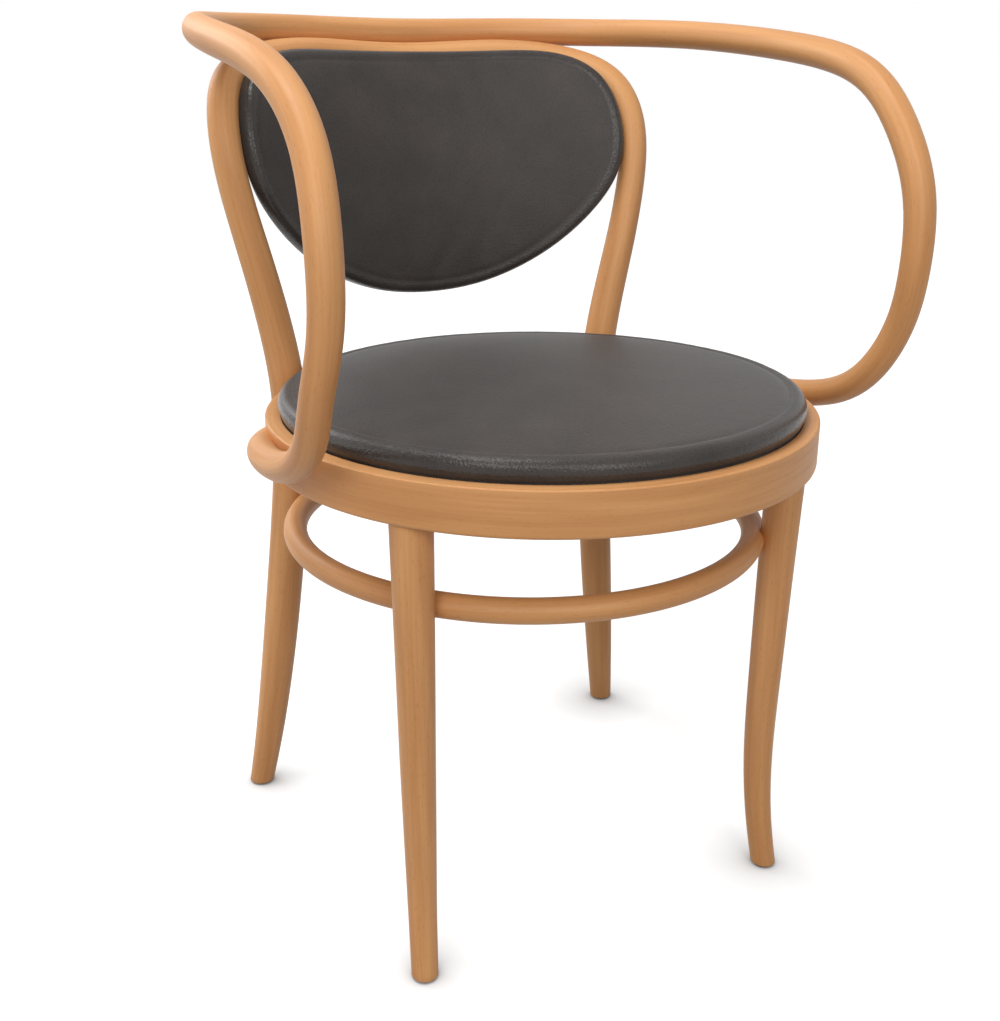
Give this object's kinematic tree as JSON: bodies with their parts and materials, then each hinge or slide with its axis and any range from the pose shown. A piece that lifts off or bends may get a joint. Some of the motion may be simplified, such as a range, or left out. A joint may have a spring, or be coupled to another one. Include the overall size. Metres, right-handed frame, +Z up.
{
  "type": "bentwood armchair",
  "caption": "Armchair of steam-bent round rods on a round seat ring, with one bow as arms and top rail, a looped back frame, a stretcher hoop, and leather pads on the seat and back.",
  "frame": {"origin": "on the floor, under the middle of the chair's plan", "axes": "+Z up, the chair faces -Y, +X towards the sitter's left"},
  "size_m": [0.5362, 0.562, 0.7602],
  "materials": {
    "beech": "satin lacquered natural beech",
    "plywood": "raw birch plywood",
    "leather": "charcoal fine-grained leather, semi-matt",
    "foam": "open-cell upholstery foam",
    "steel": "zinc-plated",
    "nylon": "dark moulded nylon"
  },
  "bodies": {
    "root": {"seat_ring": "beech", "front_leg_left": "beech", "front_leg_right": "beech", "back_frame": "beech", "arm_bow": "beech", "stretcher_hoop": "beech", "seat_board": "plywood", "seat_foam": "foam", "seat_cover": "leather", "seat_cover_staples": "steel", "back_board": "plywood", "back_foam": "foam", "back_cover": "leather", "back_rear_cover": "leather", "back_pad_screws": "steel", "seat_board_screws": "steel", "rear_leg_bolts": "steel", "rear_leg_washers": "steel", "rear_leg_nuts": "steel", "arm_end_screws": "steel", "arm_to_back_screws": "steel", "hoop_screws": "steel", "foot_glides": "nylon", "glide_nails": "steel"}
  },
  "joints": []
}
